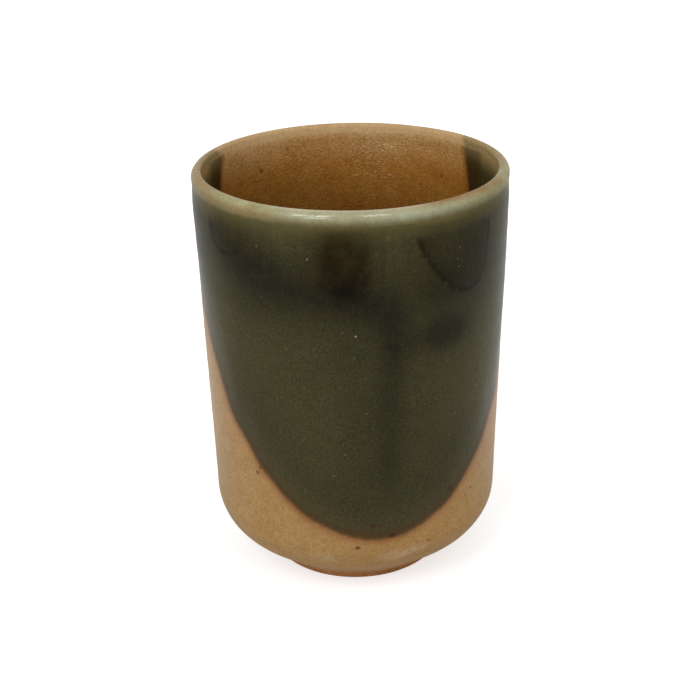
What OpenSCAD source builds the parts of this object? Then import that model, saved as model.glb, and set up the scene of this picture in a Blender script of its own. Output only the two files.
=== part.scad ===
// Yunomi tea cup: a thrown stoneware cup in two glazes, with a green dip down one side.
// The clay is drawn first, as a section turned round the axis, and each glaze is a thin coat
// of its own that follows that section. Sizes are in millimetres and angles in degrees.
// The cup stands on z = 0 round the Z axis, and the middle of the green side faces -Y.

/* [Cup] */
// Diameter at the mouth, over every coat of glaze
mouth_d = 70; // [64:0.5:80]
// Height from the table to the top of the lip, glaze included
cup_h = 95.5; // [70:0.5:120]
// How far the wall draws in from the mouth to the hip, where only the buff glaze lies on it
hip_inset = 1.35; // [0:0.05:6]
// Rounding of the hip, where the wall turns into the underside
hip_round = 11.6; // [6:0.1:16]
// Slope of the underside between the foot and the hip
base_angle = 39; // [25:1:50]
// Rounding of the clay lip on its outer side
lip_outer_round = 1.1; // [0.6:0.05:2]
// Rounding of the clay lip on its inner side
lip_inner_round = 0.4; // [0.2:0.05:1]

/* [Well] */
// Thickness of the clay wall just above the hip
low_wall = 3.8; // [2.5:0.1:6]
// Rounding between the wall and the floor inside
well_round = 9; // [4:0.5:14]
// Thickness of the clay floor over the foot ring
floor_thick = 4.4; // [3:0.1:8]

/* [Foot] */
// How far the glaze line at the top of the bare foot lies in from the hip
foot_inset = 11.65; // [8:0.05:16]
// Height of the bare foot that shows below the glaze
foot_show = 2.2; // [1:0.1:3.5]
// Height of the foot ring up to its joint with the body
foot_h = 4.4; // [4:0.1:6]
// Width of the foot ring at the table
foot_ring_w = 3.8; // [2.5:0.1:8]
// Lean of the foot's outer side, which narrows towards the table
foot_outer_angle = 23; // [0:1:35]
// Lean of the foot's inner side, which widens towards the table
foot_inner_angle = 12; // [0:1:25]
// Rounding of both edges that stand on the table
foot_edge_round = 0.5; // [0.2:0.05:0.9]
// Rise of the turned underside, from the foot ring to the middle
dome_h = 0.8; // [0.2:0.1:1.6]

/* [Glazes] */
// Thickness of the buff glaze, both inside and outside
buff_thick = 0.25; // [0.15:0.01:0.4]
// Thickness of the green glaze over the buff
green_thick = 0.25; // [0.15:0.01:0.4]
// Thickness of the rim glaze over the green
rim_thick = 0.2; // [0.1:0.01:0.35]

/* [Green dip] */
// Tilt of the cup in the green glaze: the slope of the dip line's plane
dip_angle = 57; // [30:1:70]
// Turn of the dip's lowest point from the front towards +X
dip_turn_angle = 9.5; // [-30:0.5:30]
// Height at which the dip line's plane crosses the cup's axis
dip_axis_h = 70.4; // [64:0.2:82]

/* [Rim glaze] */
// Depth of the dip that coats the rim, inside and outside
rim_dip_h = 4; // [2:0.1:7]
// Places of the three runs, from the front towards +X
run_angles = [-49, -3, 44]; // [-70:1:70]
// Distance from the top of the lip down to the tip of each run
run_drops = [12.2, 16.6, 20.4]; // [8:0.2:40]
// Width of each run on the left of its tip
run_left_widths = [5, 5.4, 14]; // [3:0.2:16]
// Width of each run on the right of its tip
run_right_widths = [7.6, 5.2, 6.8]; // [3:0.2:16]

/* [Hidden] */

// Straight pieces that draw a full turn, an arc of the section and one side of a run
turn_steps = 144;
arc_steps = 10;
run_steps = 12;

// How full each run's two sides are: 1 is a straight slant, 2 an ellipse, 3 nearly square
run_left_full_shares = [3, 2.4, 1.6];
run_right_full_shares = [2.6, 2.4, 3];

// Offsets from the clay to the surface of each coat
green_off = buff_thick + green_thick;
full_off = green_off + rim_thick;

// The lip: the two roundings meet at the crest of the clay, one above the other
crest_r = mouth_d / 2 - full_off - lip_outer_round;
clay_top = cup_h - full_off;
lip_outer_c = [crest_r, clay_top - lip_outer_round];
lip_inner_c = [crest_r, clay_top - lip_inner_round];

// The glaze line at the top of the bare foot, on the buff glaze and on the clay under it
hip_r = mouth_d / 2 - hip_inset;
base_normal = [sin(base_angle), -cos(base_angle)];
glaze_line = [hip_r - foot_inset, foot_show];
clay_line = glaze_line - buff_thick * base_normal;

// The hip: a rounding that the underside's slope touches from below
hip_clay_round = hip_round - buff_thick;
hip_rise = (foot_inset - hip_round) * tan(base_angle) + hip_round / cos(base_angle);
hip_c = [hip_r - hip_round, foot_show + hip_rise];

// The well: a rounding that carries the inner wall into the floor
floor_z = foot_h + floor_thick;
well_c = [hip_r - buff_thick - low_wall - well_round, floor_z + well_round];

// Angles of the two walls' normals, which a line touching both roundings of a wall gives
outer_span = lip_outer_c - hip_c;
outer_cos = (hip_clay_round - lip_outer_round) / norm(outer_span);
outer_normal_angle = dir_angle(outer_span) - acos(outer_cos);
inner_span = well_c - lip_inner_c;
inner_cos = (lip_inner_round + well_round) / norm(inner_span);
inner_normal_angle = dir_angle(inner_span) - acos(inner_cos) + 360;

// The foot ring: where its sides meet the table and the joint
foot_outer_r = clay_line[0] - clay_line[1] * tan(foot_outer_angle);
foot_inner_r = foot_outer_r - foot_ring_w;
joint_outer_r = clay_line[0] + (foot_h - clay_line[1]) / tan(base_angle);
joint_inner_r = foot_inner_r - foot_h * tan(foot_inner_angle);

// Angle of a direction in the section
function dir_angle(v) = atan2(v[1], v[0]);

// A point at a distance and an angle from a centre
function polar(c, r, a) = c + r * [cos(a), sin(a)];

// Points along an arc, from one angle to another
function arc(c, r, a0, a1) = [for (k = [0 : arc_steps]) polar(c, r, a0 + (a1 - a0) * k / arc_steps)];

// A list of points in the opposite order
function backwards(pts) = [for (k = [len(pts) - 1 : -1 : 0]) pts[k]];

// Outer section at an offset from the clay: hip, wall and lip up to the crest
function outer_path(off) = concat(
    arc(hip_c, hip_clay_round + off, base_angle - 90, outer_normal_angle),
    arc(lip_outer_c, lip_outer_round + off, outer_normal_angle, 90)
);

// Inner section at an offset from the clay: crest, lip, wall, well and floor up to the axis
function inner_path(off) = concat(
    arc(lip_inner_c, lip_inner_round + off, 90, inner_normal_angle),
    arc(well_c, well_round - off, inner_normal_angle - 180, -90),
    [[0, floor_z + off]]
);

// Both sections as one line, from the hip over the lip to the middle of the floor,
// with the crest that they share taken once
function skin_path(off) =
    let (inner = inner_path(off))
    concat(outer_path(off), [for (k = [1 : len(inner) - 1]) inner[k]]);

// End of an outside coat at the top of the bare foot, at an offset from the clay
function glaze_end(off) = [clay_line + off * base_normal];

// Underside between the foot ring and the middle: a shallow dome that falls off with the square
function dome_path() = [
    for (k = [0 : arc_steps])
        let (share = k / arc_steps)
        [joint_inner_r * share, foot_h + dome_h * (1 - share * share)]
];

// Round corner at the table between the flat and a side that leans by an angle.
// The side is the outer one for out = 1 and the inner one for out = -1.
function foot_corner(r, lean, out) =
    let (c = [r - out * foot_edge_round * (1 - sin(lean)) / cos(lean), foot_edge_round])
    [for (p = arc([0, 0], foot_edge_round, -90, -lean)) c + [out * p[0], p[1]]];

// Turns a closed section into a solid
module turned(pts) {
    rotate_extrude($fn = turn_steps)
        polygon(pts);
}

// A coat that follows the whole skin between two offsets
module skin_coat(off0, off1) {
    turned(concat(glaze_end(off1), skin_path(off1), backwards(skin_path(off0)), glaze_end(off0)));
}

// The cup as if it were filled with clay up to the crest of its lip
module filled_form() {
    turned(concat([[0, foot_h], [joint_outer_r, foot_h]], outer_path(0), [[0, clay_top]]));
}

// Everything above the tilted plane of the green dip
module dip_side() {
    side = 2 * (cup_h + mouth_d);
    rotate([0, 0, dip_turn_angle])
        translate([0, 0, dip_axis_h])
            rotate([dip_angle, 0, 0])
                translate([-side / 2, -side / 2, 0])
                    cube(side);
}

// One side of a run as a share of its length at a share of its width, by its fullness
function run_share(u, full) = pow(max(0, 1 - pow(u, full)), 1 / full);

// Outline of a run as it lies on the wall: down its left side to the tip and up its right side.
// It starts half-way up the rim dip, so that it hangs from the glaze on the rim.
function run_outline(k) =
    let (
        top = cup_h - rim_dip_h / 2,
        drop = run_drops[k] - rim_dip_h / 2,
        left = [
            for (i = [run_steps : -1 : 1])
                let (u = i / run_steps)
                [-u * run_left_widths[k], top - drop * run_share(u, run_left_full_shares[k])]
        ],
        right = [
            for (i = [0 : run_steps])
                let (u = i / run_steps)
                [u * run_right_widths[k], top - drop * run_share(u, run_right_full_shares[k])]
        ]
    )
    concat(left, right);

// Region of the rim glaze: the flat dip round the lip, and the runs down the outer side
module rim_region() {
    translate([0, 0, cup_h - rim_dip_h])
        cylinder(h = 2 * rim_dip_h, d = 2 * mouth_d, $fn = turn_steps);
    difference() {
        for (k = [0 : len(run_angles) - 1])
            rotate([90, 0, run_angles[k]])
                linear_extrude(mouth_d)
                    polygon(run_outline(k));
        filled_form();
    }
}

// Thrown clay wall, lip and floor, turned to a shallow dome underneath
module clay_body() {
    color("#a8784c")
        turned(concat(dome_path(), [[joint_outer_r, foot_h]], skin_path(0)));
}

// Bare clay ring that the cup stands on, joined to the flat round the dome
module foot_ring() {
    color("#8a5530")
        turned(concat(
            backwards(foot_corner(foot_inner_r, foot_inner_angle, -1)),
            foot_corner(foot_outer_r, foot_outer_angle, 1),
            [clay_line, [joint_outer_r, foot_h], [joint_inner_r, foot_h]]
        ));
}

// Buff glaze poured inside, from the crest of the lip over the wall and the floor
module liner_glaze() {
    color("#b07a40")
        turned(concat(inner_path(buff_thick), backwards(inner_path(0))));
}

// Buff glaze outside, from the crest of the lip down to the bare foot
module buff_glaze() {
    color("#b98a52")
        turned(concat(
            glaze_end(buff_thick),
            outer_path(buff_thick),
            backwards(outer_path(0)),
            glaze_end(0)
        ));
}

// Green glaze over the buff, on the side of the cup that was dipped at a tilt
module green_glaze() {
    color("#3e4029")
        intersection() {
            skin_coat(buff_thick, green_off);
            dip_side();
        }
}

// Pale glaze over the rim with its runs: it lies on the green in front and on the buff behind
module rim_glaze() {
    color("#a5a37b")
        intersection() {
            difference() {
                skin_coat(buff_thick, full_off);
                intersection() {
                    skin_coat(0, green_off);
                    dip_side();
                }
            }
            rim_region();
        }
}

clay_body();
foot_ring();
liner_glaze();
buff_glaze();
green_glaze();
rim_glaze();
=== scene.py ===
"""Looks of the yunomi tea cup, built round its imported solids.

The cup is one section of clay, turned round the axis. Each coat of glaze is a grid of places on the cup,
given by the azimuth and by the way along the section, and lifted off the clay by what lies under it.
Lengths are in millimetres until a mesh is made. The azimuth runs in degrees from the front, -Y, to +X.
"""

import bpy
import numpy as np
from mathutils import Matrix, Vector


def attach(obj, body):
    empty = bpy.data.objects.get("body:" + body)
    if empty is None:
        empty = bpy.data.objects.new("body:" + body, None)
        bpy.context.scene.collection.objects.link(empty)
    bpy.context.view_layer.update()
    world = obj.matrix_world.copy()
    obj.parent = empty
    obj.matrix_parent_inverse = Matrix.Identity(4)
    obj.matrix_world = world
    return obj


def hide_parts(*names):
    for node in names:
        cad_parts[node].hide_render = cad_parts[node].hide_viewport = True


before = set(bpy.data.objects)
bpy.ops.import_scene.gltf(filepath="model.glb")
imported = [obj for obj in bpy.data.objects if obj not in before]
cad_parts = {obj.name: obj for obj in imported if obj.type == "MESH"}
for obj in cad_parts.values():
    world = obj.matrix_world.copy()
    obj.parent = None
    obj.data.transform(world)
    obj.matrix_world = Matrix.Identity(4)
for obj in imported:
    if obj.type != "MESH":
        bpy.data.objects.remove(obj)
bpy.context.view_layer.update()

MM = 0.001

# Sizes of the cup, the same as in its source
MOUTH_R = 35.0
CUP_H = 95.5
HIP_INSET = 1.35
HIP_ROUND = 11.6
BASE_ANGLE = 39.0
LIP_OUTER_ROUND = 1.1
LIP_INNER_ROUND = 0.4
LOW_WALL = 3.8
WELL_ROUND = 9.0
FLOOR_THICK = 4.4
FOOT_INSET = 11.65
FOOT_SHOW = 2.2
FOOT_H = 4.4
FOOT_RING_W = 3.8
FOOT_OUTER_ANGLE = 23.0
FOOT_INNER_ANGLE = 12.0
FOOT_EDGE_ROUND = 0.5
BUFF_THICK = 0.25
GREEN_THICK = 0.25
RIM_THICK = 0.2
DIP_ANGLE = 57.0
DIP_TURN = 9.5
DIP_AXIS_H = 70.4
RIM_DIP_H = 4.0
RUN_ANGLES = (-49, -3, 44)
RUN_DROPS = (12.2, 16.6, 20.4)
RUN_LEFT_WIDTHS = (5.0, 5.4, 14.0)
RUN_RIGHT_WIDTHS = (7.6, 5.2, 6.8)
RUN_LEFT_FULL = (3.0, 2.4, 1.6)
RUN_RIGHT_FULL = (2.6, 2.4, 3.0)
GREEN_OFF = BUFF_THICK + GREEN_THICK
FULL_OFF = GREEN_OFF + RIM_THICK
# How much fuller than its solid the thrown wall is, between the hip and the lip
WALL_SWELL = 0.25
# How thick the bead is that the buff glaze has gathered into above the bare foot
FOOT_BEAD = 0.14
# Over how many mm the green coat and the rim coat thin out towards their edges, and how thick a run is
GREEN_FADE = 11.0
RIM_FADE = 3.4
RUN_THICK = 0.05
# How deep the back of each coat lies in what it coats, so that no light shows between them
BUFF_SUNK = 0.04
GREEN_SUNK = 0.05
RIM_SUNK = 0.06
# The green edge in the well: its lowest height, the azimuth of that place, how far it climbs from there to
# either side, and the height below which there is no green at all
WELL_EDGE_LOW = 20.5
WELL_EDGE_TURN = 5
WELL_EDGE_CLIMB = 31
WELL_EDGE_END = 14

# Where the real dip line leaves its plane: azimuth, rise in mm, and half-width in degrees
DIP_RISES = (
    (-67, 1.4, 9), (-52, -1.5, 6), (-38, -1.2, 4.5), (-29, -0.6, 5), (-20, -0.7, 8), (31, 0.2, 3),
    (38, -0.45, 5), (57, -0.6, 5), (73, -2.2, 6),
)

# Soft places in the green glaze: azimuth, height, half-width and half-height in mm, and strength
SMOKE_PLACES = (
    (36, 67, 5.2, 3.6, 0.95), (28, 67, 8, 3.4, 0.6), (14, 68, 3.6, 9, 0.72), (13, 52, 3.2, 12, 0.55),
    (12, 38, 3.8, 7, 0.4), (-41, 81.5, 9, 4, 0.6), (-32, 79.5, 10, 5, 0.66), (-16, 77.8, 8, 5, 0.56),
    (-1, 77.5, 7, 5.4, 0.72), (9, 74, 6, 4.4, 0.6), (-66, 85, 4, 6, 0.45), (48, 84, 7, 6, 0.35),
    (30, 86, 4, 4, 0.3), (40, 76, 11, 5, 0.4), (2, 50, 5, 22, 0.16), (0, 66, 5, 3, 0.15),
    (-38, 73.5, 12, 4, 0.28), (31, 75.5, 6, 5, 0.35), (47, 80, 7, 8, 0.22),
)
BROWN_PLACES = (
    (-6, 87, 5, 5.6, 0.85), (0.5, 85.5, 4.6, 6, 0.62), (-2, 80.5, 5.2, 4.2, 0.92), (30, 79.5, 5, 4, 0.4),
    (-45, 84.5, 8, 3, 0.45), (-30, 85.5, 5, 4, 0.2), (-51, 87.6, 5, 4, 0.5), (-44, 90.6, 9, 1.6, 0.45),
    (44, 85, 8, 6, 0.35), (20, 91, 20, 1.2, 0.45),
)
# The broad clear places at azimuths 60 and -60 are a painted reflection on the sides
CLEAR_AND_PAINTED_REFLECTION_PLACES = (
    (16, 86, 3.2, 4.6, 0.15), (-46, 90.6, 8, 1.6, 0.35), (60, 54, 8, 17, 0.75), (-60, 66, 8, 17, 0.65),
    (-22, 88, 7, 2.4, 0.35), (15, 91.4, 5, 1.6, 0.6), (-16, 46, 10, 15, 0.3), (-34, 62, 10, 9, 0.3),
    (40, 52, 9, 10, 0.25),
)

# Soft places on the lip: azimuth, way from the crest (below 0 outside), half-width, half-way and strength
OCHRE_PLACES = (
    (-61, -1.7, 7, 0.9, 1), (-44, -1.9, 7, 0.8, 0.8), (-31, -1.9, 5, 0.7, 0.75), (45, -0.6, 12, 0.6, 0.55),
    (-75, -0.4, 6, 0.8, 0.35), (32, -3.2, 9, 0.8, 0.35), (-6, -3, 10, 0.7, 0.3), (62, -0.9, 7, 0.9, 0.6),
)
RUST_PLACES = (
    (-57, -2.5, 0.45, 1.1, 1), (52, -0.1, 8, 0.5, 1), (36, -0.05, 8, 0.44, 0.9), (18, 0.1, 8, 0.36, 0.6),
    (2, 0.25, 9, 0.32, 0.4), (-20, 0.35, 8, 0.3, 0.25), (80, 0.6, 6, 0.5, 0.5), (-92, 0.8, 6, 0.6, 0.4),
)
# Painted highlight on the front of the lip, pale bluish patches, in the same columns
LIP_HIGHLIGHT_PLACES = (
    (-16, -1.2, 7, 1, 0.6), (4, -0.9, 5, 0.7, 0.35), (14, -1.7, 7, 1.2, 0.75), (30, -2, 7, 1.2, 0.85),
    (44, -2.4, 6, 1.2, 0.5),
)
# Painted highlight on the hip where it turns under: azimuth, height, half-width and half-height in mm, and
# strength
HIP_GLINT_PLACES = ((16, 13.8, 3.4, 1.3, 0.85), (24, 14.6, 3, 1, 0.4), (-13, 13.6, 3, 1.2, 0.5))

# Iron specks: azimuth, height, radius and how dark they are. The first ones show in the photo, and the
# others, from 104 degrees on, are spread over the back
SPECKS = (
    (-54.4, 50.6, 0.65, 0.75), (51, 55, 0.7, 0.7), (6.2, 22.6, 0.55, 0.95), (13.8, 19.6, 0.6, 0.9),
    (38.4, 27.7, 0.8, 0.85), (40, 32.9, 0.7, 0.5), (36.5, 33.2, 0.45, 0.4), (0.4, 17, 0.42, 1),
    (29, 16, 0.36, 0.5), (51, 24.7, 0.38, 0.6), (-40, 32.3, 0.42, 0.85), (-38.5, 33.9, 0.34, 0.7),
    (73, 78.5, 0.55, 0.9), (27.5, 60.4, 0.4, 0.6), (0.4, 92.5, 0.36, 0.8), (47.8, 23.6, 0.3, 0.55),
    (23.6, 16.6, 0.3, 0.5), (-2.6, 27, 0.28, 0.45), (104, 41, 0.5, 0.75), (118, 66, 0.36, 0.6),
    (133, 23, 0.42, 0.7), (146, 52, 0.6, 0.8), (158, 79, 0.34, 0.6), (171, 34, 0.38, 0.65),
    (-176, 61, 0.48, 0.75), (-163, 19, 0.34, 0.6), (-151, 44, 0.36, 0.6), (-139, 72, 0.55, 0.8),
    (-127, 30, 0.44, 0.7), (-112, 55, 0.36, 0.6), (-101, 21, 0.4, 0.65), (-148, 86, 0.32, 0.55),
    (126, 86, 0.34, 0.55),
)
WELL_SPECKS = ((-138.5, 86.4, 0.45, 0.8), (137.2, 84.6, 0.38, 0.7), (-152, 90.6, 0.3, 0.5))
# Pale pinholes in the green glaze, given in the same way
PINS = ((-14.6, 85.6, 0.22, 1), (0.9, 69, 0.24, 1), (-22, 57, 0.16, 0.6), (24, 37, 0.16, 0.6))


def ray(angle):
    """Unit vector in the section at an angle in degrees: its cosine and its sine."""
    return np.array([np.cos(np.radians(angle)), np.sin(np.radians(angle))])


def facing(v):
    """Angle of a vector in the section, in degrees."""
    return np.degrees(np.arctan2(v[1], v[0]))


def arc_run(centre, radius, start, end, free):
    """Points and normals along an arc: the centre plus the radius in a direction that turns evenly from
    start to end. The normal is that direction, or its opposite where free is -1."""
    steps = max(8, int(abs(end - start) * radius * np.pi / 180 / 0.04))
    a = np.radians(np.linspace(start, end, steps))
    out = np.stack([np.cos(a), np.sin(a)], 1)
    return np.hstack([centre + radius * out, free * out])


def straight_run(a, b):
    """Points and normals along a line from the last row of a to the first row of b, evenly spaced."""
    steps = max(3, int(np.linalg.norm(b[0, :2] - a[-1, :2]) / 0.1))
    share = np.linspace(0, 1, steps)[1:-1, None]
    return a[-1] * (1 - share) + b[0] * share


def running_total(steps):
    """Sum of the steps up to each place, from 0."""
    return np.concatenate([[0], np.cumsum(steps)])


crest_r = MOUTH_R - FULL_OFF - LIP_OUTER_ROUND
clay_top = CUP_H - FULL_OFF
lip_outer_c = np.array([crest_r, clay_top - LIP_OUTER_ROUND])
lip_inner_c = np.array([crest_r, clay_top - LIP_INNER_ROUND])
hip_r = MOUTH_R - HIP_INSET
# Mean radius of the wall, by which an azimuth becomes a distance across it
wall_r = hip_r + 1
base_normal = ray(BASE_ANGLE - 90)
clay_line = np.array([hip_r - FOOT_INSET, FOOT_SHOW]) - BUFF_THICK * base_normal
hip_clay_round = HIP_ROUND - BUFF_THICK
base_slope = np.radians(BASE_ANGLE)
hip_rise = (FOOT_INSET - HIP_ROUND) * np.tan(base_slope) + HIP_ROUND / np.cos(base_slope)
hip_c = np.array([hip_r - HIP_ROUND, FOOT_SHOW + hip_rise])
floor_z = FOOT_H + FLOOR_THICK
well_c = np.array([hip_r - BUFF_THICK - LOW_WALL - WELL_ROUND, floor_z + WELL_ROUND])
outer_span = lip_outer_c - hip_c
outer_share = (hip_clay_round - LIP_OUTER_ROUND) / np.linalg.norm(outer_span)
outer_normal = facing(outer_span) - np.degrees(np.arccos(outer_share))
inner_span = well_c - lip_inner_c
inner_share = (LIP_INNER_ROUND + WELL_ROUND) / np.linalg.norm(inner_span)
inner_normal = facing(inner_span) - np.degrees(np.arccos(inner_share)) + 360

foot_start = np.hstack([clay_line, base_normal])[None, :]
hip_arc = arc_run(hip_c, hip_clay_round, BASE_ANGLE - 90, outer_normal, 1)
lip_outer_arc = arc_run(lip_outer_c, LIP_OUTER_ROUND, outer_normal, 90, 1)
lip_inner_arc = arc_run(lip_inner_c, LIP_INNER_ROUND, 90, inner_normal, 1)[1:]
well_arc = arc_run(well_c, WELL_ROUND, inner_normal - 180, -90, -1)
floor_end = np.array([[0, floor_z, 0, 1.0]])
section = np.vstack([
    foot_start, straight_run(foot_start, hip_arc), hip_arc,
    straight_run(hip_arc, lip_outer_arc), lip_outer_arc, lip_inner_arc,
    straight_run(lip_inner_arc, well_arc), well_arc,
    straight_run(well_arc, floor_end), floor_end,
])
way_table = running_total(np.linalg.norm(np.diff(section[:, :2], axis=0), axis=1))
crest_row = int(np.argmax(section[:, 1]))
CREST = way_table[crest_row]
WAY_END = way_table[-1]


def on_section(way):
    """Radius, height and the normal's two parts of the clay section at a way along it."""
    return [np.interp(way, way_table, section[:, k]) for k in range(4)]


def way_outside(height):
    """Way along the section at a height on the outside of the cup."""
    return np.interp(height, section[:crest_row + 1, 1], way_table[:crest_row + 1])


def way_inside(height):
    """Way along the section at a height on the inside of the cup."""
    return np.interp(-height, -section[crest_row:, 1], way_table[crest_row:])


def skin(azimuth, way, lift):
    """Place on the cup: the clay section's point, moved by lift along its normal and turned by the azimuth.
    It is (r sin a, -r cos a, z) for the radius r and height z of the moved point."""
    r, z, nr, nz = on_section(way)
    r = r + lift * nr
    z = z + lift * nz
    a = np.radians(azimuth)
    return np.stack([r * np.sin(a), -r * np.cos(a), z + 0 * a], -1)


def soft_step(x):
    """Rise from 0 to 1 for x from 0 to 1, flat at both ends: 3 x squared less 2 x cubed."""
    x = np.clip(x, 0, 1)
    return x * x * (3 - 2 * x)


def rolled_edge(x):
    """Rise from 0 to 1 like a quarter of a circle: the rounded edge of a coat of glaze."""
    x = np.clip(x, 0, 1)
    return np.sqrt(1 - (1 - x) ** 2)


def hand_marks(azimuth, way):
    """How far the surface lies short of its full size, from 0.02 to about 0.15 mm: slow waves round the cup,
    and the shallow rings of throwing, which climb as the azimuth turns."""
    a = np.radians(azimuth)
    oval = 0.026 * (1 + np.sin(2 * a + 0.7)) + 0.012 * (1 + np.sin(3 * a + 2.0 + way / 40))
    rings = 0.014 * (1 + np.sin(2 * np.pi * way / 6.8 + a + 0.9 * np.sin(a + way / 17)))
    lip_waves = 0.014 * (1 + np.sin(7 * a + 1.1 * np.sin(3 * a))) * soft_step(1 - abs(way - CREST) / 6)
    return 0.02 + (oval + rings + lip_waves) * soft_step((WAY_END - way) / 6)


def dip_rise(azimuth, way):
    """Height above the green glaze's edge. Outside, the edge is a tilted plane with a few soft rises.
    Inside it has the same low place, and both of its sides climb more steeply to the lip."""
    r, z = on_section(way)[:2]
    outside = np.cos(np.radians(azimuth - DIP_TURN))
    edge_out = DIP_AXIS_H - np.tan(np.radians(DIP_ANGLE)) * r * outside
    for at, rise, wide in DIP_RISES:
        edge_out = edge_out + rise * np.exp(-((azimuth - at) / wide) ** 2)
    inside = np.cos(np.radians(azimuth - WELL_EDGE_TURN))
    edge_in = WELL_EDGE_LOW + WELL_EDGE_CLIMB * (1 - inside)
    edge_in = edge_in + WELL_EDGE_CLIMB * soft_step((-0.209 - inside) / 0.385)
    return z - edge_out + (edge_out - edge_in) * soft_step((way - CREST + 1.2) / 3.4)


def dip_gap(azimuth, way):
    """Distance on the surface to the green glaze's edge, above 0 on the green side: the rise above the edge,
    divided by how fast that rise changes over the surface."""
    here = dip_rise(azimuth, way)
    step = 0.2
    r = np.maximum(on_section(way)[0], 8)
    along = (dip_rise(azimuth, way + step / 2) - dip_rise(azimuth, way - step / 2)) / step
    turn = step / r * 180 / np.pi
    across = (dip_rise(azimuth + turn / 2, way) - dip_rise(azimuth - turn / 2, way)) / step
    return here / np.sqrt(along ** 2 + across ** 2 + 0.05)


def run_level(k, across):
    """Height of the edge of run k, at a distance across the wall from its tip. Each side falls like a
    superellipse: 1 less the share of the width to a power, and the root of that."""
    wide = np.where(across < 0, RUN_LEFT_WIDTHS[k], RUN_RIGHT_WIDTHS[k])
    full = np.where(across < 0, RUN_LEFT_FULL[k], RUN_RIGHT_FULL[k])
    u = np.clip(abs(across) / wide, 0, 1)
    return CUP_H - RIM_DIP_H / 2 - (RUN_DROPS[k] - RIM_DIP_H / 2) * (1 - u ** full) ** (1 / full)


def run_gap(azimuth, height, k):
    """Distance on the wall to the edge of run k, above 0 inside it: the nearest of a row of its points."""
    across = np.radians(azimuth - RUN_ANGLES[k]) * wall_r
    turn = np.linspace(-1, 1, 121)
    share = np.sign(turn) * (1 - (1 - abs(turn)) ** 1.6)
    edge_x = np.where(share < 0, RUN_LEFT_WIDTHS[k], RUN_RIGHT_WIDTHS[k]) * share
    edge_z = run_level(k, edge_x)
    far = np.full(np.shape(across), 1e9)
    for x, z in zip(edge_x, edge_z):
        far = np.minimum(far, (across - x) ** 2 + (height - z) ** 2)
    within = (abs(across - (edge_x[0] + edge_x[-1]) / 2) < (edge_x[-1] - edge_x[0]) / 2)
    within = within & (height > run_level(k, across))
    return np.where(within, 1, -1) * np.sqrt(far)


def runs_gap(azimuth, way):
    """Distance to the edge of the nearest run, above 0 inside one."""
    height = on_section(way)[1]
    return np.max(np.stack([run_gap(azimuth, height, k) for k in range(3)]), axis=0)


def rim_low(azimuth):
    """Height of the slightly wavy line down to which the rim was dipped, outside and inside."""
    a = np.radians(azimuth)
    return CUP_H - RIM_DIP_H + 0.35 * np.sin(3 * a + 0.4) + 0.2 * np.sin(8 * a)


def rim_edge(azimuth):
    """Height of the lower edge of the rim glaze outside: the line of its dip, and below it the runs."""
    low = rim_low(azimuth)
    for k, at in enumerate(RUN_ANGLES):
        low = np.minimum(low, run_level(k, np.radians(azimuth - at) * wall_r))
    return low


def blots(azimuth, way, places):
    """Sum of soft round blots, each a bell curve round its middle with its own width and height."""
    z = on_section(way)[1]
    total = 0 * azimuth * way
    for at, height, wide, tall, strength in places:
        across = np.radians(azimuth - at) * wall_r
        total = total + strength * np.exp(-(across / wide) ** 2 - ((z - height) / tall) ** 2)
    return np.clip(total, 0, 1) * (way < CREST)


def lip_blots(azimuth, way, places):
    """Sum of soft blots on the lip, each a bell curve over the distance round it and the way over it."""
    total = 0 * azimuth * way
    for at, over, wide, tall, strength in places:
        across = np.radians((azimuth - at + 180) % 360 - 180) * MOUTH_R
        total = total + strength * np.exp(-(across / wide) ** 2 - ((way - CREST - over) / tall) ** 2)
    return np.clip(total, 0, 1)


# How far apart the rows of a mesh lie, in mm, at these ways along the section
ROW_PLACES = (
    0, 2, way_outside(8), way_outside(18), way_outside(24), way_outside(88), CREST - 3.2,
    CREST + 1.6, way_inside(88), way_inside(22), way_inside(16), WAY_END - 18, WAY_END,
)
ROW_GAPS = (0.3, 0.5, 0.45, 0.45, 0.9, 0.8, 0.13, 0.13, 1.0, 1.0, 0.5, 0.7, 1.2)
count_table = running_total(np.diff(way_table) / np.interp(way_table[1:], ROW_PLACES, ROW_GAPS))


def rows_between(start, end, rows):
    """Ways from start to end, one column for each azimuth, close together on the lip and near both ends:
    even steps in the running count of rows, drawn towards the ends by part of a cosine."""
    t = np.linspace(0, 1, rows)[:, None]
    t = 0.65 * t + 0.35 * (1 - np.cos(np.pi * t)) / 2
    a = np.interp(start, way_table, count_table)
    b = np.interp(end, way_table, count_table)
    return np.interp(a + (b - a) * t, count_table, way_table)


def new_object(name, data):
    """A new object of the scene, made from a mesh, a lamp or a camera."""
    made = bpy.data.objects.new(name, data)
    bpy.context.scene.collection.objects.link(made)
    return made


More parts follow.
